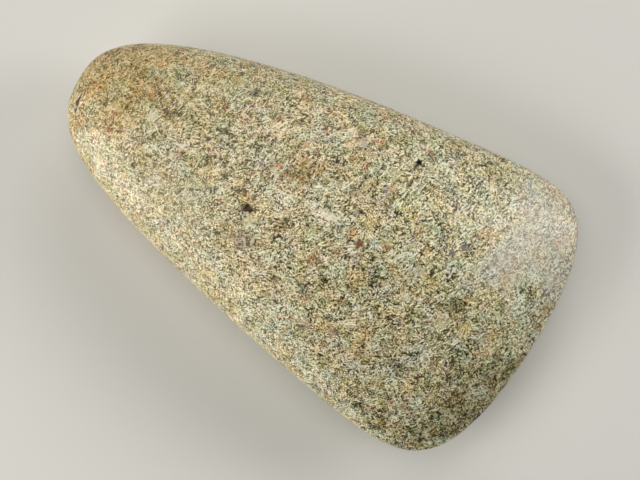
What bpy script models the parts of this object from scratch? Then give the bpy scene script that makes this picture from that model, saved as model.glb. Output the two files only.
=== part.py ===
# Polished stone axe head, ground from one piece of dolerite, lying on one face.
# +X runs from the butt to the cutting edge, +Y across, +Z up from the surface it lies on.
import math

import bmesh
import bpy
import numpy as np
from mathutils import Vector

# Driving sizes, in metres
LENGTH = 0.110  # from the butt to the furthest point of the cutting edge
WIDTH = 0.0647  # at the widest place, just behind the corners of the cutting edge
UPPER_DEPTH = 0.0176  # from the level of the cutting edge up to the crest of the upper face
LOWER_DEPTH = 0.0169  # from that level down to the crest of the lower face, before its flat is ground
FLAT_DEPTH = 0.0005  # stone ground off the lower crest, which leaves the flat the axe lies on
WAVER = 0.0002  # how far the hand-ground faces stray from the true form
FACET = 0.0026  # length of a mesh cell along the sides, which sets how fine the solid is

# Plan form: the half width grows from the butt as a power, and closes at the cutting edge
SIDE_POWER = 0.37  # 0.5 is an ellipse's end, and less gives a blunter butt and straighter sides
CLOSING_POWER = 17.0  # the higher, the later the sides turn in and the flatter the cutting edge
CORNER_POWER = 0.45  # 0.5 is round, and less gives squarer corners
EDGE_SLANT = 0.030  # metres that the cutting edge is set back for each metre across
SLANT_POWER = 6.0  # how quickly the slant dies away behind the edge
BELLY = 0.27  # how far one side bellies out behind the edge, as a share of the width
BELLY_POWER = 4.0  # how far towards the edge the belly lies

# Side form: the depth grows from the butt as a power, and tapers to the cutting edge
BUTT_POWER = 0.54  # 0.5 is a round butt, seen from the side, and more is a slimmer one
TAPER_POWER = 2.25  # the higher, the nearer to the edge the taper starts
EDGE_POWER = 0.87  # 1 is a keen wedge, 0.5 is a round end, and this is a worn edge
ROUND_POWER = 0.5  # the sides are half ellipses in section
KEEN_START = 0.72  # share of the length where the round section starts to turn into the wedge

# Swells that hand grinding left, as whole waves over the length and over the width
SWELLS_ALONG = 1.7
SWELLS_ACROSS = 1.9

STONE_COLOUR = (0.40, 0.35, 0.21, 1.0)
STONE_ROUGHNESS = 0.45

CURVE_STEPS = 4000  # steps in which a curve is measured
SHARP_ANGLE = math.radians(40)  # the cutting edge is sharper than this, and all else is smooth


def eased(low, high, value):
    """0 below low, 1 above high, and smooth between them."""
    share = min(1.0, max(0.0, (value - low) / (high - low)))
    return share * share * (3 - 2 * share)


def plan_curve(along):
    """Half width at a share of the length from the butt, before it is scaled to WIDTH."""
    return along**SIDE_POWER * max(0.0, 1 - along**CLOSING_POWER) ** CORNER_POWER


def side_curve(along):
    """Half depth at a share of the length from the butt, before it is scaled to a depth."""
    return along**BUTT_POWER * max(0.0, 1 - along**TAPER_POWER) ** EDGE_POWER


def peak(curve):
    """The largest value of a curve over the length, and where it lies."""
    values = [curve(step / CURVE_STEPS) for step in range(CURVE_STEPS + 1)]
    return max(values), values.index(max(values)) / CURVE_STEPS


PLAN_PEAK = peak(plan_curve)[0]
SIDE_PEAK, CREST = peak(side_curve)


def half_width(along):
    return WIDTH / 2 * plan_curve(along) / PLAN_PEAK


def measured_side():
    """One side of the plan, from butt to edge: its points, the share of its run at each, and its run."""
    turns = np.linspace(0.0, math.pi, CURVE_STEPS + 1)
    along = (1 - np.cos(turns)) / 2
    across = np.array([half_width(share) for share in along])
    steps = np.hypot(np.diff(along) * LENGTH, np.diff(across))
    run = np.insert(steps.cumsum(), 0, 0.0)
    return along, across, run / run[-1], run[-1]


SIDE_ALONG, SIDE_ACROSS, SIDE_SHARE, SIDE_RUN = measured_side()


def keenness(along):
    """0 where the section is round, as on the sides and butt, and 1 at the cutting edge."""
    return eased(KEEN_START, 1.0, along)


def depth_share(along, across):
    """Depth of a face at a point of the plan, as a share of its crest's depth."""
    inside = max(0.0, 1 - (across / half_width(along)) ** 2)
    power = ROUND_POWER + (EDGE_POWER - ROUND_POWER) * keenness(along)
    return side_curve(along) / SIDE_PEAK * inside**power


def waver(along, across, face):
    """Long shallow swells that hand grinding leaves, different on each face."""
    lengthwise = math.sin(math.tau * SWELLS_ALONG * along + 2 * face)
    crosswise = math.sin(math.tau * SWELLS_ACROSS * (across / WIDTH + along / 3) + face)
    return WAVER * (lengthwise + crosswise) / 2


def stone_point(direction):
    """The point of the stone's skin that a direction from its middle stands for."""
    turn = math.atan2(abs(direction.y), -direction.x) / math.pi
    rim_along = float(np.interp(turn, SIDE_SHARE, SIDE_ALONG))
    rim_across = math.copysign(float(np.interp(turn, SIDE_SHARE, SIDE_ACROSS)), direction.y)
    # Rings crowd towards a round side as a ball's do, and are evenly spaced towards the edge.
    tilt = math.acos(min(1.0, abs(direction.z)))
    keen = keenness(rim_along)
    reach = (1 - keen) * math.sin(tilt) + keen * tilt / (math.pi / 2)
    along = CREST + reach * (rim_along - CREST)
    across = reach * rim_across
    face = math.copysign(1.0, direction.z)
    height = 0.0
    if reach < 1 - 1e-6:
        depth = UPPER_DEPTH if face > 0 else LOWER_DEPTH
        height = face * depth_share(along, across) * (depth + waver(along, across, face))
    # The outline isn't quite even: the edge slants, and one side bellies out behind it.
    x = along * LENGTH + EDGE_SLANT * across * along**SLANT_POWER
    y = across - BELLY * WIDTH * along**BELLY_POWER * (1 - along)
    return Vector((x, y, height))


def even_ball(cells):
    """A closed ball of nearly square cells: a cube cut into a grid, spread out by angle."""
    ball = bmesh.new()
    bmesh.ops.create_cube(ball, size=2.0)
    bmesh.ops.subdivide_edges(ball, edges=ball.edges, cuts=cells - 1, use_grid_fill=True)
    for vertex in ball.verts:
        spread = [math.tan(value * math.pi / 4) for value in vertex.co]
        vertex.co = Vector(spread).normalized()
    return ball


def grind_flat(stone, level):
    """Takes off the stone below a level, and closes the cut with one flat face."""
    parts = stone.verts[:] + stone.edges[:] + stone.faces[:]
    down = Vector((0, 0, -1))
    bmesh.ops.bisect_plane(
        stone, geom=parts, plane_co=(0, 0, level), plane_no=down, clear_outer=True
    )
    rim = [edge for edge in stone.edges if edge.is_boundary]
    bmesh.ops.contextual_create(stone, geom=rim)


def place_origin(stone):
    """Moves the stone so that the origin is under the middle of its box, on the flat."""
    points = np.array([vertex.co for vertex in stone.verts])
    low = points.min(axis=0)
    high = points.max(axis=0)
    middle = (low + high) / 2
    bmesh.ops.translate(stone, verts=stone.verts, vec=(-middle[0], -middle[1], -low[2]))


def dolerite():
    material = bpy.data.materials.new("dolerite")
    material.use_nodes = True
    shader = material.node_tree.nodes["Principled BSDF"]
    shader.inputs["Base Color"].default_value = STONE_COLOUR
    shader.inputs["Roughness"].default_value = STONE_ROUGHNESS
    shader.inputs["Metallic"].default_value = 0.0
    return material


def make_axe_head():
    cells = 2 * round(SIDE_RUN / FACET / 4)  # two cube faces to a side, with the rim on a grid line
    stone = even_ball(cells)
    for vertex in stone.verts:
        vertex.co = stone_point(vertex.co)
    grind_flat(stone, FLAT_DEPTH - LOWER_DEPTH)
    place_origin(stone)
    bmesh.ops.recalc_face_normals(stone, faces=stone.faces)
    mesh = bpy.data.meshes.new("axe_head")
    stone.to_mesh(mesh)
    stone.free()
    mesh.shade_smooth()
    mesh.set_sharp_from_angle(angle=SHARP_ANGLE)
    mesh.materials.append(dolerite())
    return bpy.data.objects.new("axe_head", mesh)


def main():
    for thing in list(bpy.data.objects):
        bpy.data.objects.remove(thing)
    collection = bpy.data.collections.new("polished_stone_axe")
    bpy.context.scene.collection.children.link(collection)
    collection.objects.link(make_axe_head())


main()
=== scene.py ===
# The looks of a polished stone axe head that lies on a pale floor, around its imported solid.
import math

import bmesh
import bpy
import numpy as np
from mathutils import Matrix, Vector, noise


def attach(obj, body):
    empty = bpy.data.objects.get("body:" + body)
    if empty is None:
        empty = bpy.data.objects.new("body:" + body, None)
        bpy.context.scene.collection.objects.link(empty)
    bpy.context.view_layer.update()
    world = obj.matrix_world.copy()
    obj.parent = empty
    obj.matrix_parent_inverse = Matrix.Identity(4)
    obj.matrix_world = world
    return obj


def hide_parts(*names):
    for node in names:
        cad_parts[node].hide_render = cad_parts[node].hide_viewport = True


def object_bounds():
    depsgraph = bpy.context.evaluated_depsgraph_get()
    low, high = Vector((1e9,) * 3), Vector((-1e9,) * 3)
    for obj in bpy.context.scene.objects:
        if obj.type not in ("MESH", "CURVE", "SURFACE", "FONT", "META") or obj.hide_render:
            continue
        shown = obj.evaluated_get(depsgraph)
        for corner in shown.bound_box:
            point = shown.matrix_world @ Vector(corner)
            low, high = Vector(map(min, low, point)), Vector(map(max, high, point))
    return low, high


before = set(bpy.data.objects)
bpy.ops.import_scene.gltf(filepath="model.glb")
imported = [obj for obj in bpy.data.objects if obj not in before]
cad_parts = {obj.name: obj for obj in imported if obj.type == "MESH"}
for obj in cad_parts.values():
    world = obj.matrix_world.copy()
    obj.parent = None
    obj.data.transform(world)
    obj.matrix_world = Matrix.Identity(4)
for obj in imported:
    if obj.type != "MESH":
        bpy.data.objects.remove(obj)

cadLow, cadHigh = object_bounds()
mm = 0.001

# The plan and side forms repeat the solid's own, so the piece fits it.
axe = {
    "node": "axe_head",
    "cells": 116,  # cells along each side of the cube that the stone starts from
    "length": 110.0 * mm,
    "width": 64.7 * mm,
    "upperDepth": 17.6 * mm,
    "lowerDepth": 16.9 * mm,
    "flatDepth": 0.5 * mm,
    "sidePower": 0.37,  # plan form
    "closingPower": 17.0,
    "cornerPower": 0.45,
    "edgeSlant": 0.030,
    "slantPower": 6.0,
    "belly": 0.27,
    "bellyPower": 4.0,
    "buttPower": 0.54,  # side form
    "taperPower": 2.25,
    "edgePower": 0.87,
    "roundPower": 0.5,
    "keenStart": 0.72,
    "waver": 0.2 * mm,  # swells that hand grinding left
    "swellsAlong": 1.7,
    "swellsAcross": 1.9,
    "edgeRadius": 0.16 * mm,  # wear that rounds the cutting edge
    "edgeRows": 0.45,  # share of the rows that crowd towards the cutting edge
    "nickDepth": 0.22 * mm,  # bruises along the cutting edge
    "nickSize": 2.4 * mm,
    "nickReach": 0.7 * mm,
    "facetSize": 6.5 * mm,  # flats that the grinding slab left, longer than wide
    "facetStretch": 2.6,
    "facetReach": 0.55,  # how much of its cell each flat takes
    "facetDepth": 0.055 * mm,
    "peckSize": 1.7 * mm,  # dimples left by the hammerstone, mostly ground away
    "peckReach": 0.42,
    "peckPatch": 3.1 * mm,  # size of the patches that keep them
    "peckChance": (-0.15, 0.25),
    "peckDepth": 0.34 * mm,
    "grainSize": 0.9 * mm,  # grains that stand a little proud or lie a little deep
    "grainDepth": 0.024 * mm,
    "grainShares": (0.6, 0.8),  # how much of the grain shows anywhere, and what roughness adds
    "faceRough": 0.12,  # the ground faces are the least rough, then the sides, then the butt
    "sideRough": 0.6,
    "sideEnds": (0.15, 0.55),  # shares of the way in from the rim where the sides' roughness ends
    "buttEnds": (0.10, 0.42),  # and of the length where the butt's does
    "rimReach": 1.5 * mm,  # the relief is weaker this near the rim, which keeps its outline
    "rimRelief": 0.35,
    "flatReach": 0.02 * mm,  # points this near the floor are on the flat spot, which stays flat
}

# Open pits and single odd grains on the upper face, in mm and degrees: where they lie, their half
# width, depth, how many times longer they are, how they turn, and their colour or that of their dirt.
pits = {
    "blackPit": dict(at=(14.9, 21.3), size=0.68, depth=0.9, stretch=1.1, turn=70, lobes=5,
                     colour="#070302", by=1.0),
    "blackPitFoot": dict(at=(14.7, 20.2), size=0.40, depth=0.2, stretch=1.3, turn=60, lobes=3,
                         colour="#57402c", by=0.65),
    "brownPit": dict(at=(-10.2, -4.1), size=0.86, depth=0.7, stretch=1.35, turn=18, lobes=3,
                     colour="#3e1a06", by=0.93),
    "brownPitRim": dict(at=(-11.2, -4.1), size=0.60, depth=0.15, stretch=1.2, turn=20, lobes=4,
                        colour="#40281a", by=0.82),
    "buttSlit": dict(at=(-52.3, -2.5), size=0.44, depth=0.5, stretch=3.0, turn=96, lobes=3,
                     colour="#5a3814", by=0.85),
    "buttSlitFoot": dict(at=(-51.9, -4.2), size=0.34, depth=0.3, stretch=1.3, turn=100, lobes=3,
                         colour="#46412f", by=0.85),
    "sidePit": dict(at=(-35.0, -8.0), size=0.55, depth=0.25, stretch=1.5, turn=100, lobes=3,
                    colour="#6a4a28", by=0.8),
    "edgePit": dict(at=(36.6, -16.9), size=0.36, depth=0.3, stretch=1.8, turn=-30, lobes=3,
                    colour="#2b2227", by=0.85),
    "edgeSpeck": dict(at=(40.4, -11.7), size=0.34, depth=0.25, stretch=1.2, turn=10, lobes=3,
                      colour="#17161c", by=0.85),
    "rustGrain": dict(at=(12.6, 0.9), size=0.80, depth=0.08, stretch=1.15, turn=80, lobes=5,
                      colour="#7a4200", by=0.88),
    "paleSeam": dict(at=(4.2, 2.6), size=0.72, depth=0.0, stretch=3.6, turn=-1, lobes=5,
                     colour="#ffeecc", by=0.50),
    "slateLeft": dict(at=(29.9, 8.8), size=0.62, depth=0.0, stretch=1.2, turn=60, lobes=4,
                      colour="#62636c", by=0.82),
    "slateRight": dict(at=(31.3, 11.0), size=0.58, depth=0.0, stretch=1.5, turn=75, lobes=3,
                       colour="#5c5c66", by=0.85),
    "redGrain": dict(at=(32.4, -5.8), size=0.34, depth=0.0, stretch=1.2, turn=60, lobes=3,
                     colour="#a8452e", by=0.75),
    "redSpeck": dict(at=(36.8, 13.9), size=0.26, depth=0.0, stretch=1.2, turn=60, lobes=3,
                     colour="#b0553f", by=0.6),
    "darkByRed": dict(at=(31.5, -5.2), size=0.42, depth=0.0, stretch=1.5, turn=20, lobes=3,
                      colour="#3d4236", by=0.7),
    "edgeGrain": dict(at=(53.6, 4.4), size=0.36, depth=0.0, stretch=1.5, turn=80, lobes=3,
                      colour="#6e3a30", by=0.7),
    "mauveGrain": dict(at=(-12.4, 0.6), size=0.38, depth=0.0, stretch=1.2, turn=0, lobes=3,
                       colour="#544a58", by=0.75),
    "brownGrain": dict(at=(-13.7, -2.2), size=0.40, depth=0.0, stretch=1.5, turn=-20, lobes=3,
                       colour="#5a4640", by=0.75),
    "slateGrain": dict(at=(-12.5, -1.5), size=0.38, depth=0.0, stretch=1.3, turn=40, lobes=3,
                       colour="#4c4850", by=0.75),
    "umberGrain": dict(at=(-10.3, -1.5), size=0.42, depth=0.0, stretch=1.6, turn=-40, lobes=3,
                       colour="#6a5844", by=0.7),
    "whiteSliver": dict(at=(18.6, -9.9), size=0.24, depth=0.0, stretch=3.0, turn=-25, lobes=2,
                        colour="#eeead2", by=0.85),
    "paleNeedle": dict(at=(41.7, 8.6), size=0.22, depth=0.0, stretch=4.5, turn=95, lobes=2,
                       colour="#dccfae", by=0.75),
    "greenNeedle": dict(at=(2.3, 9.8), size=0.26, depth=0.0, stretch=4.5, turn=2, lobes=2,
                        colour="#4e553a", by=0.7),
    "brownNeedle": dict(at=(6.1, 8.8), size=0.20, depth=0.0, stretch=6.0, turn=10, lobes=2,
                        colour="#6a5040", by=0.6),
}

# Stains and clots on the upper face, placed like the pits, that only tint the stone, and one broad painted
# shade on the blade's lower corner.
stainsAndShade = {
    "rustHalo": dict(at=(10.3, 2.4), size=1.0, stretch=1.4, turn=110, colour="#f3c584", by=0.8),
    "ochreStain": dict(at=(-4.2, 7.9), size=2.8, stretch=1.3, turn=50, colour="#e4c078", by=0.8),
    "ochreHeart": dict(at=(-4.2, 6.6), size=0.8, stretch=1.3, turn=40, colour="#cb8c48", by=0.85),
    "pinkSpot": dict(at=(-9.2, 6.5), size=0.8, stretch=1.2, turn=30, colour="#f2a680", by=0.8),
    "pinkShade": dict(at=(-10.6, 5.4), size=0.9, stretch=1.3, turn=30, colour="#b99a84", by=0.7),
    "tanCloud": dict(at=(6.2, -6.2), size=1.4, stretch=1.2, turn=30, colour="#cda77a", by=0.75),
    "topOchre": dict(at=(3.0, 15.2), size=0.8, stretch=1.4, turn=40, colour="#d39a56", by=0.8),
    "topPink": dict(at=(5.9, 15.2), size=0.9, stretch=1.3, turn=30, colour="#ecb084", by=0.8),
    "topPeach": dict(at=(-4.4, 17.4), size=0.9, stretch=1.3, turn=60, colour="#f0b48c", by=0.75),
    "topOrange": dict(at=(6.0, 20.9), size=0.9, stretch=1.5, turn=30, colour="#efb98a", by=0.7),
    "topRust": dict(at=(1.8, 19.2), size=0.5, stretch=1.3, turn=20, colour="#b5774a", by=0.9),
    "topSlate": dict(at=(2.0, 20.6), size=0.7, stretch=1.4, turn=20, colour="#8b929a", by=0.85),
    "redLow": dict(at=(17.0, -16.8), size=0.7, stretch=1.3, turn=30, colour="#b48c76", by=0.75),
    "redMiddle": dict(at=(15.0, -10.6), size=0.6, stretch=1.3, turn=30, colour="#b4866c", by=0.75),
    "brownBlade": dict(at=(29.9, -2.1), size=0.7, stretch=1.5, turn=90, colour="#c08e58", by=0.75),
    "tanBlade": dict(at=(33.5, 15.6), size=0.9, stretch=1.3, turn=70, colour="#e4bc8c", by=0.4),
    "tanCorner": dict(at=(48.6, 20.6), size=0.9, stretch=1.3, turn=70, colour="#dcae90", by=0.6),
    "rimOchre": dict(at=(-41.0, 14.6), size=2.1, stretch=3.6, turn=12, colour="#f2daac", by=0.45),
    "rimOrange": dict(at=(-50.8, 9.8), size=1.7, stretch=2.6, turn=48, colour="#eccaa0", by=0.55),
    "rimPink": dict(at=(-50.3, -5.6), size=1.8, stretch=1.8, turn=105, colour="#f2d4bc", by=0.7),
    "rimYellow": dict(at=(-53.9, 3.4), size=1.2, stretch=2.8, turn=82, colour="#eaca94", by=0.7),
    "buttOrange": dict(at=(-41.1, 12.4), size=0.8, stretch=1.4, turn=20, colour="#f2c896", by=0.7),
    "buttWarm": dict(at=(-45.5, 5.0), size=6.5, stretch=1.4, turn=30, colour="#f5e6c8", by=0.7),
    "buttTan": dict(at=(-43.6, -0.7), size=0.8, stretch=1.3, turn=30, colour="#ecbe96", by=0.75),
    "buttPink": dict(at=(-43.3, -4.2), size=0.7, stretch=1.2, turn=30, colour="#ecae8a", by=0.85),
    "buttBrown": dict(at=(-42.4, -6.0), size=0.6, stretch=1.2, turn=80, colour="#cca47c", by=0.8),
    "buttRust": dict(at=(-24.3, 11.2), size=0.6, stretch=1.2, turn=30, colour="#dc9860", by=0.85),
    "buttRed": dict(at=(-34.5, 4.5), size=0.6, stretch=1.4, turn=10, colour="#ac7c58", by=0.8),
    "buttCream": dict(at=(-25.5, 17.4), size=1.0, stretch=1.3, turn=30, colour="#e8cc98", by=0.7),
    "slateTop": dict(at=(-20.7, 17.0), size=0.9, stretch=1.6, turn=60, colour="#98a0a8", by=0.9),
    "slateMiddle": dict(at=(7.6, 1.6), size=0.7, stretch=1.4, turn=-20, colour="#868c8e", by=0.85),
    "slateUpper": dict(at=(9.3, 6.1), size=0.6, stretch=1.7, turn=70, colour="#848c86", by=0.85),
    "slateLow": dict(at=(11.2, -19.2), size=0.8, stretch=1.4, turn=20, colour="#868c90", by=0.8),
    "mauveCloud": dict(at=(-7.9, -10.2), size=1.8, stretch=1.4, turn=20, colour="#c4a8a2", by=0.8),
    "mauveButt": dict(at=(-22.3, 6.9), size=0.8, stretch=1.9, turn=15, colour="#b8a8ac", by=0.8),
    "mauveSpot": dict(at=(-24.1, 4.1), size=0.5, stretch=1.2, turn=15, colour="#7a6668", by=0.85),
    "greyBlade": dict(at=(35.6, -0.3), size=1.7, stretch=1.4, turn=40, colour="#a8b09e", by=0.7),
    "yellowByPit": dict(at=(-11.8, -2.6), size=1.3, stretch=1.7, turn=10, colour="#eed690", by=0.5),
    # painted shade: a broad darkening of the blade's lower corner, where the stone turns away from the light
    "paintedShadeCorner": dict(at=(49.2, -15.5), size=7.0, stretch=2.4, turn=69, colour="#e6e5e0", by=1.0),
}

# Places where dark grains crowd, or pale ones where the share is below nothing; on the blade's two corners
# they paint shade and sheen.
crowdsAndPaintedLight = {
    "right": dict(at=(19.2, -3.9), size=1.6, stretch=1.4, turn=60, by=0.8),
    "stroke": dict(at=(10.1, -8.8), size=0.7, stretch=2.3, turn=-2, by=1.1),
    "speckle": dict(at=(-2.9, -3.4), size=1.6, stretch=1.5, turn=20, by=0.5),
    "leftOfPit": dict(at=(-15.5, -6.5), size=3.6, stretch=1.5, turn=10, by=0.25),
    "lowLeft": dict(at=(-13.5, -12.8), size=2.6, stretch=1.6, turn=10, by=0.45),
    "under": dict(at=(-2.7, -6.7), size=0.8, stretch=1.3, turn=80, by=0.9),
    "streaks": dict(at=(16.6, 10.8), size=0.5, stretch=3.8, turn=42, by=0.9),
    "greenSpot": dict(at=(-10.4, -7.0), size=0.8, stretch=1.4, turn=-20, by=1.0),
    "mauveButt": dict(at=(-22.3, 6.9), size=0.8, stretch=1.9, turn=15, by=0.8),
    "blade": dict(at=(37.0, -5.5), size=0.6, stretch=1.2, turn=40, by=1.0),
    "bladeGrey": dict(at=(37.0, 0.6), size=1.7, stretch=1.5, turn=20, by=0.5),
    "low": dict(at=(30.3, -16.2), size=1.4, stretch=1.5, turn=0, by=0.6),
    "lower": dict(at=(32.6, -17.6), size=0.8, stretch=1.4, turn=-30, by=0.6),
    "mauveBlade": dict(at=(31.8, -11.4), size=0.7, stretch=1.9, turn=-30, by=0.9),
    "foot": dict(at=(35.0, -28.2), size=1.2, stretch=1.6, turn=80, by=0.9),
    "toe": dict(at=(41.8, -26.9), size=1.3, stretch=1.5, turn=20, by=0.9),
    "edge": dict(at=(49.0, -18.1), size=1.0, stretch=1.3, turn=60, by=1.0),
    "heel": dict(at=(34.6, -30.1), size=1.0, stretch=1.4, turn=20, by=1.0),
    "toeLow": dict(at=(44.0, -28.5), size=1.1, stretch=2.0, turn=50, by=1.0),
    "tip": dict(at=(47.4, -21.1), size=0.9, stretch=1.4, turn=80, by=1.0),
    "edgeLow": dict(at=(50.8, -15.4), size=0.8, stretch=1.5, turn=60, by=1.0),
    "bladeDark": dict(at=(42.9, -5.2), size=0.9, stretch=1.4, turn=70, by=0.8),
    "west": dict(at=(29.5, -27.2), size=0.9, stretch=1.5, turn=30, by=0.8),
    # painted shade: more dark grains over the same lower corner of the blade, which darkens it
    "paintedShadeCorner": dict(at=(49.2, -15.5), size=7.0, stretch=2.4, turn=69, by=0.42),
    "butt": dict(at=(-46.6, 0.5), size=0.9, stretch=1.2, turn=40, by=1.0),
    "middle": dict(at=(-32.8, 5.0), size=0.9, stretch=1.6, turn=40, by=0.5),
    "dots": dict(at=(-22.2, 0.9), size=0.8, stretch=1.3, turn=40, by=1.0),
    "dot": dict(at=(-19.0, 2.4), size=0.6, stretch=1.3, turn=60, by=1.0),
    "upper": dict(at=(-14.8, 7.5), size=0.7, stretch=1.3, turn=60, by=1.0),
    "paleSeam": dict(at=(4.2, 2.6), size=0.8, stretch=3.4, turn=-1, by=-1.1),
    "paleGrain": dict(at=(-36.6, 2.4), size=0.9, stretch=1.3, turn=60, by=-0.8),
    "paleClot": dict(at=(-4.6, 2.2), size=1.8, stretch=1.4, turn=40, by=-0.5),
    "paleButt": dict(at=(-30.0, 8.5), size=1.6, stretch=1.5, turn=40, by=-0.4),
    "paleMiddle": dict(at=(10.6, 2.6), size=1.6, stretch=1.4, turn=20, by=-0.3),
    "paleBlade": dict(at=(36.0, -12.5), size=1.4, stretch=1.4, turn=20, by=-0.4),
    "paleFoot": dict(at=(-43.0, -9.5), size=1.6, stretch=2.6, turn=118, by=-0.5),
    "paleRim": dict(at=(-42.3, 12.6), size=2.6, stretch=1.9, turn=12, by=-0.35),
    # painted sheen: pale laths crowd over the blade's upper corner, where the polish glares
    "paintedSheenCorner": dict(at=(40.5, 20.5), size=8.5, stretch=1.5, turn=30, by=-0.32),
}

# Pale seam lines of grown-together feldspar and other smooth spots, which hide the laths where they lie, and
# broad fills of painted sheen.
seamsAndSheen = {
    "paleByPit": dict(at=(-8.9, -6.1), size=1.0, stretch=1.7, turn=50, colour="#d5cf9f", by=0.50),
    "paleGrain": dict(at=(-36.6, 2.4), size=0.8, stretch=1.3, turn=60, colour="#d8d2bc", by=0.42),
    "whiteFleck": dict(at=(-36.0, 7.5), size=0.36, stretch=1.6, turn=100, colour="#e4ecf0", by=0.6),
    "paleTan": dict(at=(-24.7, 17.4), size=1.0, stretch=1.3, turn=20, colour="#dcc294", by=0.45),
    "paleUpper": dict(at=(12.1, 16.9), size=1.0, stretch=1.3, turn=60, colour="#d8cba2", by=0.45),
    "paleTop": dict(at=(3.2, 18.8), size=0.6, stretch=1.7, turn=20, colour="#c9c6b4", by=0.55),
    "paleRight": dict(at=(26.0, 2.3), size=1.0, stretch=1.6, turn=-20, colour="#d2c6a2", by=0.50),
    "honeyLeft": dict(at=(17.6, 4.0), size=0.7, stretch=1.5, turn=100, colour="#d8b978", by=0.50),
    "honeyRight": dict(at=(21.7, 5.5), size=0.6, stretch=1.2, turn=60, colour="#d6c78c", by=0.55),
    "honeyBlade": dict(at=(35.0, -4.2), size=1.2, stretch=1.4, turn=50, colour="#c9bd8c", by=0.45),
    "tanSpot": dict(at=(12.7, 13.9), size=0.85, stretch=1.1, turn=30, colour="#b9854c", by=0.55),
    # painted sheen: a broad pale fill on the blade's upper corner that veils the grain like the polish's
    # glare
    "paintedSheenCorner": dict(at=(46.5, 23.0), size=11.0, stretch=1.5, turn=70, colour="#cec6c0", by=0.34),
    # painted sheen: a thin olive fill that flattens the grain's contrast on the lower left of the butt,
    # standing in for the veil of sheen there
    "westSheenVeil": dict(at=(-24.0, -9.5), size=4.5, stretch=2.0, turn=-13, colour="#aca27c", by=0.15),
}


def eased(low, high, value):
    share = np.clip((value - low) / (high - low), 0, 1)
    return share * share * (3 - 2 * share)


def formCurve(along, grow, taper, close):
    return along**grow * np.clip(1 - along**taper, 0, None) ** close


def planCurve(along):
    return formCurve(along, axe["sidePower"], axe["closingPower"], axe["cornerPower"])


def sideCurve(along):
    return formCurve(along, axe["buttPower"], axe["taperPower"], axe["edgePower"])


def evenBall(cells):
    ball = bmesh.new()
    bmesh.ops.create_cube(ball, size=2.0)
    bmesh.ops.subdivide_edges(ball, edges=ball.edges, cuts=cells - 1, use_grid_fill=True)
    mesh = bpy.data.meshes.new("polishedAxe")
    ball.to_mesh(mesh)
    ball.free()
    return mesh


def readPoints(mesh):
    points = np.empty(len(mesh.vertices) * 3)
    mesh.vertices.foreach_get("co", points)
    return points.reshape(-1, 3)


def writePoints(mesh, points):
    mesh.vertices.foreach_set("co", points.ravel())
    mesh.update()


def shapeStone(mesh):
    # each point of the ball goes to its place on the stone's skin
    ball = np.tan(readPoints(mesh) * math.pi / 4)
    ball /= np.linalg.norm(ball, axis=1)[:, None]
    steps = np.linspace(0, 1, 4001)
    planPeak = planCurve(steps).max()
    sidePeak, crest = sideCurve(steps).max(), steps[sideCurve(steps).argmax()]
    turns = (1 - np.cos(steps * math.pi)) / 2
    reachAcross = axe["width"] / 2 * planCurve(turns) / planPeak
    run = np.insert(np.hypot(np.diff(turns) * axe["length"], np.diff(reachAcross)).cumsum(), 0, 0)
    turn = np.arctan2(abs(ball[:, 1]), -ball[:, 0]) / math.pi
    rimAlong = np.interp(turn, run / run[-1], turns)
    rimAcross = np.copysign(np.interp(turn, run / run[-1], reachAcross), ball[:, 1])

    tilt = np.arccos(np.clip(abs(ball[:, 2]), 0, 1))
    keen = eased(axe["keenStart"], 1.0, rimAlong)
    spread = keen * (1 - axe["edgeRows"])
    reach = (1 - spread) * np.sin(tilt) + spread * tilt / (math.pi / 2)
    along = crest + reach * (rimAlong - crest)
    across = reach * rimAcross
    face = np.sign(np.where(abs(ball[:, 2]) < 1e-6, 0, ball[:, 2]))

    halfWidth = axe["width"] / 2 * planCurve(along) / planPeak
    inside = np.clip(1 - (across / np.maximum(halfWidth, 1e-9)) ** 2, 0, None)
    keenHere = eased(axe["keenStart"], 1.0, along)
    power = axe["roundPower"] + (axe["edgePower"] - axe["roundPower"]) * keenHere
    share = sideCurve(along) / sidePeak * inside**power
    lengthwise = np.sin(math.tau * axe["swellsAlong"] * along + 2 * face)
    crosswise = np.sin(math.tau * axe["swellsAcross"] * (across / axe["width"] + along / 3) + face)
    waver = axe["waver"] * (lengthwise + crosswise) / 2
    depth = share * (np.where(face > 0, axe["upperDepth"], axe["lowerDepth"]) + waver)
    # the wear rounds the keen rim off, like a small circle that the wedge runs into
    toRim = (1 - reach) * np.hypot((rimAlong - crest) * axe["length"], rimAcross)
    worn = np.sqrt(2 * axe["edgeRadius"] * keen * np.clip(toRim, 0, None))
    depth = np.cbrt(depth**3 + worn**3)
    depth = np.where(face < 0, np.minimum(depth, axe["lowerDepth"] - axe["flatDepth"]), depth)
    points = np.column_stack([
        along * axe["length"] + axe["edgeSlant"] * across * along ** axe["slantPower"],
        across - axe["belly"] * axe["width"] * along ** axe["bellyPower"] * (1 - along),
        face * depth,
    ])
    low, high = points.min(axis=0), points.max(axis=0)
    cadSize = np.array(cadHigh) - np.array(cadLow)
    points = np.array(cadLow) + (points - low) * cadSize / (high - low)
    writePoints(mesh, points)
    return {"along": along, "keen": keen, "toRim": toRim, "inside": inside, "face": face}


def normals(mesh):
    found = np.empty(len(mesh.vertices) * 3)
    mesh.vertices.foreach_get("normal", found)
    return found.reshape(-1, 3)


def noiseAt(points, size, shift=0.0):
    offset = Vector((shift, -shift, shift / 2))
    return np.array([noise.noise(Vector(point) / size + offset) for point in points])


def cellAt(points, size, shift=0.0):
    # distance to the nearest of scattered points, in cells
    offset = Vector((shift, shift, -shift))
    return np.array([noise.voronoi(Vector(point) / size + offset)[0][0] for point in points])


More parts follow.
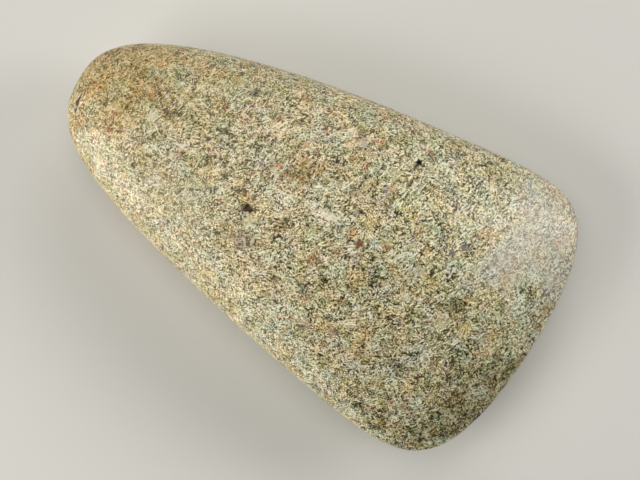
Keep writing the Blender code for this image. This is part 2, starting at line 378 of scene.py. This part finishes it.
def carveRelief(mesh, place):
    points = readPoints(mesh)
    outward = normals(mesh)
    onFlat = points[:, 2] < cadLow[2] + axe["flatReach"]
    buttShare = 1 - eased(*axe["buttEnds"], place["along"])
    sideShare = (1 - eased(*axe["sideEnds"], place["inside"])) * (1 - place["keen"])
    rough = np.clip(axe["faceRough"] + buttShare + axe["sideRough"] * sideShare, 0, 1)

    stretched = points * np.array([1 / axe["facetStretch"], 1, 1])
    facet = cellAt(stretched, axe["facetSize"], 3.0)
    flattened = -axe["facetDepth"] * np.clip(1 - (facet / axe["facetReach"]) ** 2, 0, 1)
    peck = cellAt(points, axe["peckSize"], 7.0)
    chance = eased(*axe["peckChance"], noiseAt(points, axe["peckPatch"], 5.0))
    dimple = np.clip(1 - (peck / axe["peckReach"]) ** 2, 0, 1) ** 1.5
    pecked = -axe["peckDepth"] * dimple * chance * rough
    always, more = axe["grainShares"]
    grain = axe["grainDepth"] * noiseAt(points, axe["grainSize"], 11.0) * (always + more * rough)
    lift = np.where(onFlat, 0, flattened + pecked + grain)
    fade = np.clip(place["toRim"] / axe["rimReach"], 0, 1)
    points += outward * (lift * (axe["rimRelief"] + (1 - axe["rimRelief"]) * fade))[:, None]

    # small bruises bite the cutting edge back along its length, and smaller ones lie between them
    bite = np.clip(noiseAt(points, axe["nickSize"], 21.0), 0, 1) ** 2
    bite = bite + 0.5 * np.clip(noiseAt(points, axe["nickSize"] / 3, 23.0), 0, 1)
    bite = bite * place["keen"] ** 2 * np.exp(-place["toRim"] / axe["nickReach"])
    points[:, 0] -= axe["nickDepth"] * bite
    writePoints(mesh, points)


# How every mark is drawn, in shares of its half width, and how fine the mesh is made round it.
drawing = {
    "lobeBy": 0.24,  # how far the lobes of its outline stand out, and the ripples on them
    "rippleBy": 0.10,
    "fade": (0.6, 1.25),  # between which its colour runs out
    "wall": (0.35, 1.0),  # between which a pit's wall rises
    "meshReach": 1.3,
    "pitMesh": (3, 0.02),  # cuts, and the largest face in square mm that isn't cut
    "smallMesh": (1, 0.12),
    "small": 1.1,  # half width in mm up to which a stain or seam needs a finer mesh
}


def markReach(mark, points):
    # how far out each point lies in a mark's own ragged outline: 0 in its middle, 1 at its rim
    offset = points[:, :2] - np.array(mark["at"]) * mm
    turn = math.radians(mark["turn"])
    longWay = (offset[:, 0] * math.cos(turn) + offset[:, 1] * math.sin(turn)) / mark["stretch"]
    crossWay = -offset[:, 0] * math.sin(turn) + offset[:, 1] * math.cos(turn)
    angle = np.arctan2(crossWay, longWay)
    lobes = mark.get("lobes", 4)
    ripple = drawing["rippleBy"] * np.cos((2 * lobes + 1) * angle)
    ragged = 1 + drawing["lobeBy"] * np.cos(lobes * angle + 1) + ripple
    return np.hypot(longWay, crossWay) / (mark["size"] * mm * ragged)


def refine(shape, mark, cuts, coarse):
    # the mesh is made finer round a mark, wherever its faces are coarser than so many square mm
    middle = Vector((mark["at"][0] * mm, mark["at"][1] * mm))
    reach = mark["size"] * mark["stretch"] * drawing["meshReach"] * mm
    near = [
        face for face in shape.faces
        if face.normal.z > 0 and (face.calc_center_median().xy - middle).length < reach
        and face.calc_area() > coarse * mm * mm
    ]
    edges = list({edge for face in near for edge in face.edges})
    bmesh.ops.subdivide_edges(shape, edges=edges, cuts=cuts, use_grid_fill=True)


def openPits(mesh):
    shape = bmesh.new()
    shape.from_mesh(mesh)
    for pit in pits.values():
        refine(shape, pit, *drawing["pitMesh"])
    for mark in [*stainsAndShade.values(), *seamsAndSheen.values()]:
        if mark["size"] < drawing["small"]:
            refine(shape, mark, *drawing["smallMesh"])
    bmesh.ops.triangulate(shape, faces=[face for face in shape.faces if len(face.verts) > 4])
    shape.to_mesh(mesh)
    shape.free()

    points = readPoints(mesh)
    outward = normals(mesh)
    for pit in pits.values():
        sunk = np.where(outward[:, 2] > 0, 1 - eased(*drawing["wall"], markReach(pit, points)), 0)
        points -= outward * (sunk * pit["depth"] * mm)[:, None]
    writePoints(mesh, points)


def paintMarks(mesh, name, marks):
    # each point takes the colour of the mark it lies deepest in, and how much of it, as its alpha
    points = readPoints(mesh)
    reach = np.array([markReach(mark, points) for mark in marks.values()])
    nearest = reach.argmin(axis=0)
    painted = np.array([linearColour(mark.get("colour", "#000000")) for mark in marks.values()])[nearest]
    strength = np.array([mark["by"] for mark in marks.values()])[nearest]
    strength = strength * (1 - eased(*drawing["fade"], reach.min(axis=0)))
    painted[:, 3] = strength * (normals(mesh)[:, 2] > 0)
    attribute = mesh.attributes.new(name, "FLOAT_COLOR", "POINT")
    attribute.data.foreach_set("color", painted.ravel())


def linearColour(code):
    channels = [int(code[start:start + 2], 16) / 255 for start in (1, 3, 5)]
    linear = [c / 12.92 if c <= 0.04045 else ((c + 0.055) / 1.055) ** 2.4 for c in channels]
    return (*linear, 1.0)


def addNode(tree, kind, links=None, **settings):
    node = tree.nodes.new(kind)
    for name, value in settings.items():
        setattr(node, name, value)
    for socket, source in (links or {}).items():
        if isinstance(source, bpy.types.NodeSocket):
            tree.links.new(source, node.inputs[socket])
        else:
            node.inputs[socket].default_value = source
    return node


def fillRamp(node, stops):
    ramp = node.color_ramp
    while len(ramp.elements) < len(stops):
        ramp.elements.new(0.5)
    for element, (position, code) in zip(ramp.elements, stops):
        element.position = position
        element.color = linearColour(code)


# Dolerite, pecked, ground and then polished by hand: pale feldspar laths, felted every way, over
# olive to black grains. The polish leaves a broad soft sheen, and the dark grains stay duller.
dolerite = {
    "lathLong": 1.6,  # mm between laths along their length, of which each fills two thirds
    "lathWide": 0.30,
    "lathSlopes": [25, -50, 10, 60, -25, -5, 40, -15],  # degrees out of level, for each set of laths
    "lathRoll": 0.7,  # radians between the sets, and the steps in metres that keep their cells apart
    "lathStep": (0.031, 0.017),
    "lathShade": (0.04, 0.20),  # how deep in its cell a lath's thin shade begins and is full
    "lathBody": (0.18, 0.27),  # and the lath itself
    "lathOdds": 0.24,  # how much laths differ in size
    "paleAbove": 0.25,  # how much likelier pale laths are to lie over dark ones
    "lathTones": [
        (0.0, "#0c0900"), (0.17, "#322a02"), (0.27, "#645c18"), (0.35, "#938a4a"), (0.43, "#b8af7c"),
        (0.57, "#dad0a9"), (0.75, "#f1e9ce"), (1.0, "#faf5e4"),
    ],
    "shadeTone": "#857b38",  # the thin shade that a lath leaves on what it lies over
    "groundSize": 0.36,
    "groundTones": [(0.0, "#0c0a00"), (0.35, "#2a2402"), (0.7, "#585016"), (1.0, "#8c824a")],
    "buttHue": (1.06, 1.0, 0.88),  # shares of red, green and blue at the butt and at the cutting edge
    "edgeHue": (1.01, 1.045, 1.01),
    "hueEnds": (-45, 45),  # mm from the middle, towards the cutting edge, between which they change
    "deepening": 1.08,  # the power by which the finer polish deepens the tones at the cutting edge
    "deepEnds": (-5, 30),
    "skinTone": "#b3a87e",  # the weathered skin that dulls the grain at the butt, and how much of it
    "skinBy": 0.20,
    "skinEnds": (-45, 5),
    "warpSize": 3.5,  # mm over which the laths swing round, and how far they do
    "warpBy": 1.6,
    "clotSize": 3.2,  # mm between places where a set of laths thickens
    "clotPlaces": (0.0, 5.3, 9.1),
    "cloudSize": 2.6,  # mm between places where dark laths crowd, and how much they do
    "cloudBy": 0.75,
    "crowdBy": 0.32,  # how much darker the laths are where the marks below crowd them
    "hueSize": 4.2,  # mm across the broadest drifts of hue
    "warmBy": (0.50, -0.10, -0.52),  # shares by which red, green and blue drift to warm
    "yellowBy": (0.0, 0.04, -0.62),  # and to yellow
    "raggedSize": 0.7,  # mm between the gaps in a stain's rim, and the noise that leaves and fills them
    "raggedFrom": (0.30, 0.50),
    "raggedLeast": 0.40,
    "roughLath": 0.40,
    "roughGround": 0.58,
    "bumpSize": 0.55,
    "grainBump": 0.10,  # mm that the finest grain stands out, and how much of it at the butt and the edge
    "buttBump": 1.0,
    "edgeBump": 0.4,
    "bumpEnds": (-40, 0),
    "ior": 1.50,  # a little under feldspar's 1.55, as the skin is weathered
}

# Grown patches of other minerals and stain: size in mm, how much of the rock, colour, strength.
patches = {
    "rust": dict(size=1.8, start=0.60, full=0.72, colour="#e2a878", strength=0.65),
    "mauve": dict(size=1.7, start=0.60, full=0.72, colour="#ab9ba2", strength=0.65),
    "green": dict(size=1.5, start=0.56, full=0.70, colour="#a3af90", strength=0.55),
    "honey": dict(size=5.0, start=0.48, full=0.72, colour="#e8cf94", strength=0.45),
}


def layLaths(tree, warped, clot, cloud, number, colour, height):
    # one more set of laths, that lie about one way: by chance, each lies over or under what it crosses
    slopes = dolerite["lathSlopes"]
    stepLong, stepWide = dolerite["lathStep"]
    heading = math.pi * (5 * number % len(slopes)) / len(slopes)  # so no set lies near the one before it
    stretched = addNode(
        tree, "ShaderNodeMapping",
        {
            "Vector": warped,
            "Location": (stepLong * (number + 1), stepWide, 0.0),
            "Rotation": (dolerite["lathRoll"] * number, -math.radians(slopes[number]), heading),
            "Scale": [dolerite["lathLong"] * mm, dolerite["lathWide"] * mm, dolerite["lathWide"] * mm],
        },
        vector_type="TEXTURE",
    )
    cell = addNode(
        tree, "ShaderNodeTexVoronoi", {"Vector": stretched.outputs[0], "Scale": 1.0}, distance="CHEBYCHEV"
    )
    chance = addNode(tree, "ShaderNodeSeparateColor", {0: cell.outputs["Color"]})
    size = addNode(
        tree, "ShaderNodeMath", {0: chance.outputs[0], 1: dolerite["lathOdds"], 2: clot},
        operation="MULTIPLY_ADD",
    )
    inside = addNode(
        tree, "ShaderNodeMath", {0: size.outputs[0], 1: cell.outputs["Distance"]}, operation="SUBTRACT"
    ).outputs[0]
    level = addNode(
        tree, "ShaderNodeMath", {0: chance.outputs[1], 1: dolerite["paleAbove"], 2: chance.outputs[2]},
        operation="MULTIPLY_ADD",
    ).outputs[0]
    above = addNode(tree, "ShaderNodeMath", {0: level, 1: height}, operation="GREATER_THAN").outputs[0]
    begins, full = dolerite["lathShade"]
    shade = addNode(tree, "ShaderNodeMapRange", {0: inside, 1: begins, 2: full, 3: 0.0, 4: above})
    colour = addNode(
        tree, "ShaderNodeMix", {0: shade.outputs[0], 6: colour, 7: linearColour(dolerite["shadeTone"])},
        data_type="RGBA", blend_type="MULTIPLY",
    ).outputs[2]
    begins, full = dolerite["lathBody"]
    lath = addNode(tree, "ShaderNodeMapRange", {0: inside, 1: begins, 2: full, 3: 0.0, 4: above}).outputs[0]
    tone = addNode(tree, "ShaderNodeMath", {0: chance.outputs[1], 1: cloud}, operation="ADD")
    ramp = addNode(tree, "ShaderNodeValToRGB", {0: tone.outputs[0]})
    fillRamp(ramp, dolerite["lathTones"])
    colour = addNode(
        tree, "ShaderNodeMix", {0: lath, 6: colour, 7: ramp.outputs[0]}, data_type="RGBA"
    ).outputs[2]
    raised = addNode(tree, "ShaderNodeMath", {0: lath, 1: level}, operation="MULTIPLY").outputs[0]
    height = addNode(tree, "ShaderNodeMath", {0: height, 1: raised}, operation="MAXIMUM").outputs[0]
    return colour, height


def stoneMaterial():
    material = bpy.data.materials.new("groundPolishedDolerite")
    material.use_nodes = True
    tree = material.node_tree
    shader = tree.nodes["Principled BSDF"]
    place = addNode(tree, "ShaderNodeTexCoord").outputs["Object"]

    # a slow warp swings the laths this way and that
    warp = addNode(
        tree, "ShaderNodeTexNoise",
        {"Vector": place, "Scale": 1 / (dolerite["warpSize"] * mm), "Detail": 3.0, "Roughness": 0.4},
    )
    warp = addNode(
        tree, "ShaderNodeVectorMath", {0: warp.outputs["Color"], 1: (0.5, 0.5, 0.5)}, operation="SUBTRACT"
    )
    warped = addNode(
        tree, "ShaderNodeVectorMath",
        {0: warp.outputs[0], 1: (dolerite["warpBy"] * mm,) * 3, 2: place}, operation="MULTIPLY_ADD",
    ).outputs[0]

    ground = addNode(
        tree, "ShaderNodeTexVoronoi", {"Vector": warped, "Scale": 1 / (dolerite["groundSize"] * mm)}
    )
    ground = addNode(tree, "ShaderNodeSeparateColor", {0: ground.outputs["Color"]})
    ramp = addNode(tree, "ShaderNodeValToRGB", {0: ground.outputs[0]})
    fillRamp(ramp, dolerite["groundTones"])
    colour = ramp.outputs[0]
    height = 0.0

    # each noise gives the clotting of three sets, so each set thins out in places of its own
    clots = []
    for shift in dolerite["clotPlaces"]:
        clot = addNode(
            tree, "ShaderNodeTexNoise",
            {"Vector": place, "W": shift, "Scale": 1 / (dolerite["clotSize"] * mm), "Detail": 3.0,
             "Roughness": 0.6},
            noise_dimensions="4D",
        )
        clots += addNode(tree, "ShaderNodeSeparateColor", {0: clot.outputs["Color"]}).outputs[0:3]

    cloud = addNode(
        tree, "ShaderNodeTexNoise",
        {"Vector": place, "Scale": 1 / (dolerite["cloudSize"] * mm), "Detail": 3.0, "Roughness": 0.6},
    )
    cloud = addNode(
        tree, "ShaderNodeMath",
        {0: cloud.outputs[0], 1: dolerite["cloudBy"], 2: -dolerite["cloudBy"] / 2}, operation="MULTIPLY_ADD",
    )
    # where the marks crowd dark or pale laths, among them the painted shade and sheen on the blade's corners
    crowd = addNode(tree, "ShaderNodeAttribute", attribute_name="stoneCrowdAndPaintedLight")
    cloud = addNode(
        tree, "ShaderNodeMath",
        {0: crowd.outputs["Alpha"], 1: -dolerite["crowdBy"], 2: cloud.outputs[0]}, operation="MULTIPLY_ADD",
    ).outputs[0]
    for number, clot in enumerate(clots[:len(dolerite["lathSlopes"])]):
        colour, height = layLaths(tree, warped, clot, cloud, number, colour, height)

    # the rock's hue drifts from grain to grain and over wider stretches
    drift = addNode(
        tree, "ShaderNodeTexNoise",
        {"Vector": place, "Scale": 1 / (dolerite["hueSize"] * mm), "Detail": 3.0, "Roughness": 0.52},
    )
    drift = addNode(tree, "ShaderNodeSeparateColor", {0: drift.outputs["Color"]})
    hue = [1 - (warm + yellow) / 2 for warm, yellow in zip(dolerite["warmBy"], dolerite["yellowBy"])]
    for channel, reach in ((drift.outputs[1], dolerite["warmBy"]), (drift.outputs[2], dolerite["yellowBy"])):
        hue = addNode(
            tree, "ShaderNodeVectorMath", {0: channel, 1: reach, 2: hue}, operation="MULTIPLY_ADD"
        ).outputs[0]
    colour = addNode(
        tree, "ShaderNodeMix", {0: 1.0, 6: colour, 7: hue}, data_type="RGBA", blend_type="MULTIPLY"
    ).outputs[2]

    # the butt is warmer and more weathered than the reground cutting edge
    toEdge = addNode(tree, "ShaderNodeSeparateXYZ", {0: place}).outputs[0]
    butt, edge = (end * mm for end in dolerite["skinEnds"])
    skin = addNode(
        tree, "ShaderNodeMapRange", {0: toEdge, 1: butt, 2: edge, 3: dolerite["skinBy"], 4: 0.0}
    ).outputs[0]
    colour = addNode(
        tree, "ShaderNodeMix", {0: skin, 6: colour, 7: linearColour(dolerite["skinTone"])}, data_type="RGBA"
    ).outputs[2]
    butt, edge = (end * mm for end in dolerite["deepEnds"])
    power = addNode(
        tree, "ShaderNodeMapRange", {0: toEdge, 1: butt, 2: edge, 3: 1.0, 4: dolerite["deepening"]}
    ).outputs[0]
    colour = addNode(tree, "ShaderNodeGamma", {"Color": colour, "Gamma": power}).outputs[0]
    butt, edge = ((end * mm,) * 3 for end in dolerite["hueEnds"])
    hue = addNode(
        tree, "ShaderNodeMapRange",
        {6: toEdge, 7: butt, 8: edge, 9: dolerite["buttHue"], 10: dolerite["edgeHue"]},
        data_type="FLOAT_VECTOR",
    ).outputs["Vector"]
    colour = addNode(
        tree, "ShaderNodeMix", {0: 1.0, 6: colour, 7: hue}, data_type="RGBA", blend_type="MULTIPLY"
    ).outputs[2]

    for number, patch in enumerate(patches.values()):
        grown = addNode(
            tree, "ShaderNodeTexNoise",
            {"Vector": place, "W": 3.7 * number + 1, "Scale": 1 / (patch["size"] * mm), "Detail": 2.0},
            noise_dimensions="4D",
        )
        share = addNode(
            tree, "ShaderNodeMapRange",
            {0: grown.outputs[0], 1: patch["start"], 2: patch["full"], 3: 0.0, 4: patch["strength"]},
        )
        colour = addNode(
            tree, "ShaderNodeMix", {0: share.outputs[0], 6: colour, 7: linearColour(patch["colour"])},
            data_type="RGBA", blend_type="MULTIPLY",
        ).outputs[2]

    # the marks painted on the mesh have edges as ragged as the grain
    ragged = addNode(
        tree, "ShaderNodeTexNoise",
        {"Vector": place, "Scale": 1 / (dolerite["raggedSize"] * mm), "Detail": 1.0},
    )
    low, high = dolerite["raggedFrom"]
    ragged = addNode(
        tree, "ShaderNodeMapRange",
        {0: ragged.outputs[0], 1: low, 2: high, 3: dolerite["raggedLeast"], 4: 1.0},
    ).outputs[0]
    # the stain marks, and the painted shade on the blade's lower corner, multiply the colour
    tint = addNode(tree, "ShaderNodeAttribute", attribute_name="stoneTintAndShade")
    share = addNode(tree, "ShaderNodeMath", {0: tint.outputs["Alpha"], 1: ragged}, operation="MULTIPLY")
    colour = addNode(
        tree, "ShaderNodeMix", {0: share.outputs[0], 6: colour, 7: tint.outputs["Color"]},
        data_type="RGBA", blend_type="MULTIPLY",
    ).outputs[2]
    # pits, seam marks, odd grains and the painted sheen on the blade's upper corner and the butt's lower
    # left, laid over the colour
    fill = addNode(tree, "ShaderNodeAttribute", attribute_name="stoneFillAndSheen")
    colour = addNode(
        tree, "ShaderNodeMix", {0: fill.outputs["Alpha"], 6: colour, 7: fill.outputs["Color"]},
        data_type="RGBA",
    ).outputs[2]

    # the laths take the polish better than the dark ground, and the butt keeps a coarser grain
    rough = addNode(
        tree, "ShaderNodeMapRange",
        {0: height, 1: 0.0, 2: 1.0, 3: dolerite["roughGround"], 4: dolerite["roughLath"]},
    ).outputs[0]
    fine = addNode(
        tree, "ShaderNodeTexNoise",
        {"Vector": place, "Scale": 1 / (dolerite["bumpSize"] * mm), "Detail": 3.0},
    )
    butt, edge = (end * mm for end in dolerite["bumpEnds"])
    coarse = addNode(
        tree, "ShaderNodeMapRange",
        {0: toEdge, 1: butt, 2: edge, 3: dolerite["buttBump"], 4: dolerite["edgeBump"]},
    )
    bump = addNode(
        tree, "ShaderNodeBump",
        {"Strength": coarse.outputs[0], "Distance": dolerite["grainBump"] * mm, "Height": fine.outputs[0]},
    )
    tree.links.new(colour, shader.inputs["Base Color"])
    tree.links.new(rough, shader.inputs["Roughness"])
    tree.links.new(bump.outputs[0], shader.inputs["Normal"])
    shader.inputs["IOR"].default_value = dolerite["ior"]
    return material


def makeAxe():
    mesh = evenBall(axe["cells"])
    place = shapeStone(mesh)
    print("form of the stone: done")
    carveRelief(mesh, place)
    openPits(mesh)
    print("grinding, pecking and pits: done")
    paintMarks(mesh, "stoneTintAndShade", stainsAndShade)
    paintMarks(mesh, "stoneFillAndSheen", {**pits, **seamsAndSheen})
    paintMarks(mesh, "stoneCrowdAndPaintedLight", crowdsAndPaintedLight)
    mesh.shade_smooth()
    mesh.materials.append(stoneMaterial())
    print("marks and stone: done")
    piece = bpy.data.objects.new("polishedAxe", mesh)
    bpy.context.scene.collection.objects.link(piece)
    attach(piece, "root")
    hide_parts(axe["node"])
    print("axe head:", sum(len(face.vertices) - 2 for face in mesh.polygons), "triangles")


# A sheet of pale matt paper and ten softboxes, whose soft glow on the polish shows the stone's curve.
studio = {
    "floorSide": 3.0,
    "floorColour": "#dcdad5",
    "floorRough": 0.8,
    "ambientColour": "#e8edf2",
    "ambient": 0.03,
    "roll": 30.014,  # degrees that the axe's long axis runs down from the picture's level
    "lookAt": (5.38 * mm, -2.30 * mm),
    "lens": 100.0,
    "sensor": 36.0,
    "frameWidth": 133.7 * mm,  # across the picture, at the level of the cutting edge
    "rimLevel": 16.4 * mm,
    # direction in the picture in degrees from its right, height in degrees, metres away,
    # width and height of the softbox in metres, and watts
    "lights": {
        "leftSoftbox": dict(turn=190, height=5, away=0.36, size=(0.18, 0.06), power=0.38),
        "lowLeftSoftbox": dict(turn=208, height=5, away=0.36, size=(0.18, 0.06), power=0.32),
        "lowestSoftbox": dict(turn=235, height=6, away=0.50, size=(0.25, 0.08), power=0.15),
        "farLeftSoftbox": dict(turn=155, height=12, away=0.45, size=(0.20, 0.10), power=0.12),
        "highLeftSoftbox": dict(turn=200, height=45, away=0.60, size=(0.30, 0.20), power=1.06),
        "rightSoftbox": dict(turn=12, height=32, away=0.60, size=(0.25, 0.20), power=0.70),
        "lowRightSoftbox": dict(turn=14, height=26, away=0.50, size=(0.20, 0.15), power=0.36),
        "farRightSoftbox": dict(turn=0, height=22, away=0.50, size=(0.20, 0.15), power=0.15),
        "upperSoftbox": dict(turn=72, height=36, away=0.60, size=(0.35, 0.25), power=0.95),
        "topSoftbox": dict(turn=120, height=80, away=0.70, size=(0.40, 0.40), power=1.40),
    },
    "lightColour": "#fffefa",
}


def makeFloor():
    mesh = bpy.data.meshes.new("floor")
    half = studio["floorSide"] / 2
    corners = [(-half, -half, 0), (half, -half, 0), (half, half, 0), (-half, half, 0)]
    mesh.from_pydata(corners, [], [(0, 1, 2, 3)])
    floor = bpy.data.objects.new("floor", mesh)
    bpy.context.scene.collection.objects.link(floor)
    material = bpy.data.materials.new("palePaperFloor")  # matt, so it takes soft shadows and no glare
    material.use_nodes = True
    shader = material.node_tree.nodes["Principled BSDF"]
    shader.inputs["Base Color"].default_value = linearColour(studio["floorColour"])
    shader.inputs["Roughness"].default_value = studio["floorRough"]
    mesh.materials.append(material)


def makeLights():
    target = Vector((0, 0, studio["rimLevel"]))
    for name, light in studio["lights"].items():
        data = bpy.data.lights.new(name, "AREA")
        data.shape = "RECTANGLE"
        data.size, data.size_y = light["size"]
        data.energy = light["power"]
        data.color = linearColour(studio["lightColour"])[:3]
        turn = math.radians(light["turn"] + studio["roll"])
        height = math.radians(light["height"])
        level = Vector((math.cos(turn), math.sin(turn), 0))
        direction = level * math.cos(height) + Vector((0, 0, math.sin(height)))
        lamp = bpy.data.objects.new(name, data)
        lamp.location = target + direction * light["away"]
        lamp.rotation_euler = direction.to_track_quat("Z", "Y").to_euler()
        lamp.visible_camera = False
        bpy.context.scene.collection.objects.link(lamp)
    world = bpy.data.worlds.new("softStudio")
    world.use_nodes = True
    sky = world.node_tree.nodes["Background"]
    sky.inputs["Color"].default_value = linearColour(studio["ambientColour"])
    sky.inputs["Strength"].default_value = studio["ambient"]
    bpy.context.scene.world = world


def makeCamera():
    data = bpy.data.cameras.new("camera")
    data.lens = studio["lens"]
    data.sensor_width = studio["sensor"]
    camera = bpy.data.objects.new("camera", data)
    distance = studio["frameWidth"] * studio["lens"] / studio["sensor"]
    camera.location = (*studio["lookAt"], studio["rimLevel"] + distance)
    camera.rotation_euler = (0, 0, math.radians(studio["roll"]))
    bpy.context.scene.collection.objects.link(camera)
    bpy.context.scene.camera = camera


makeAxe()
makeFloor()
makeLights()
makeCamera()
bpy.context.scene.view_settings.view_transform = "Standard"
print("floor, lights and camera: done")
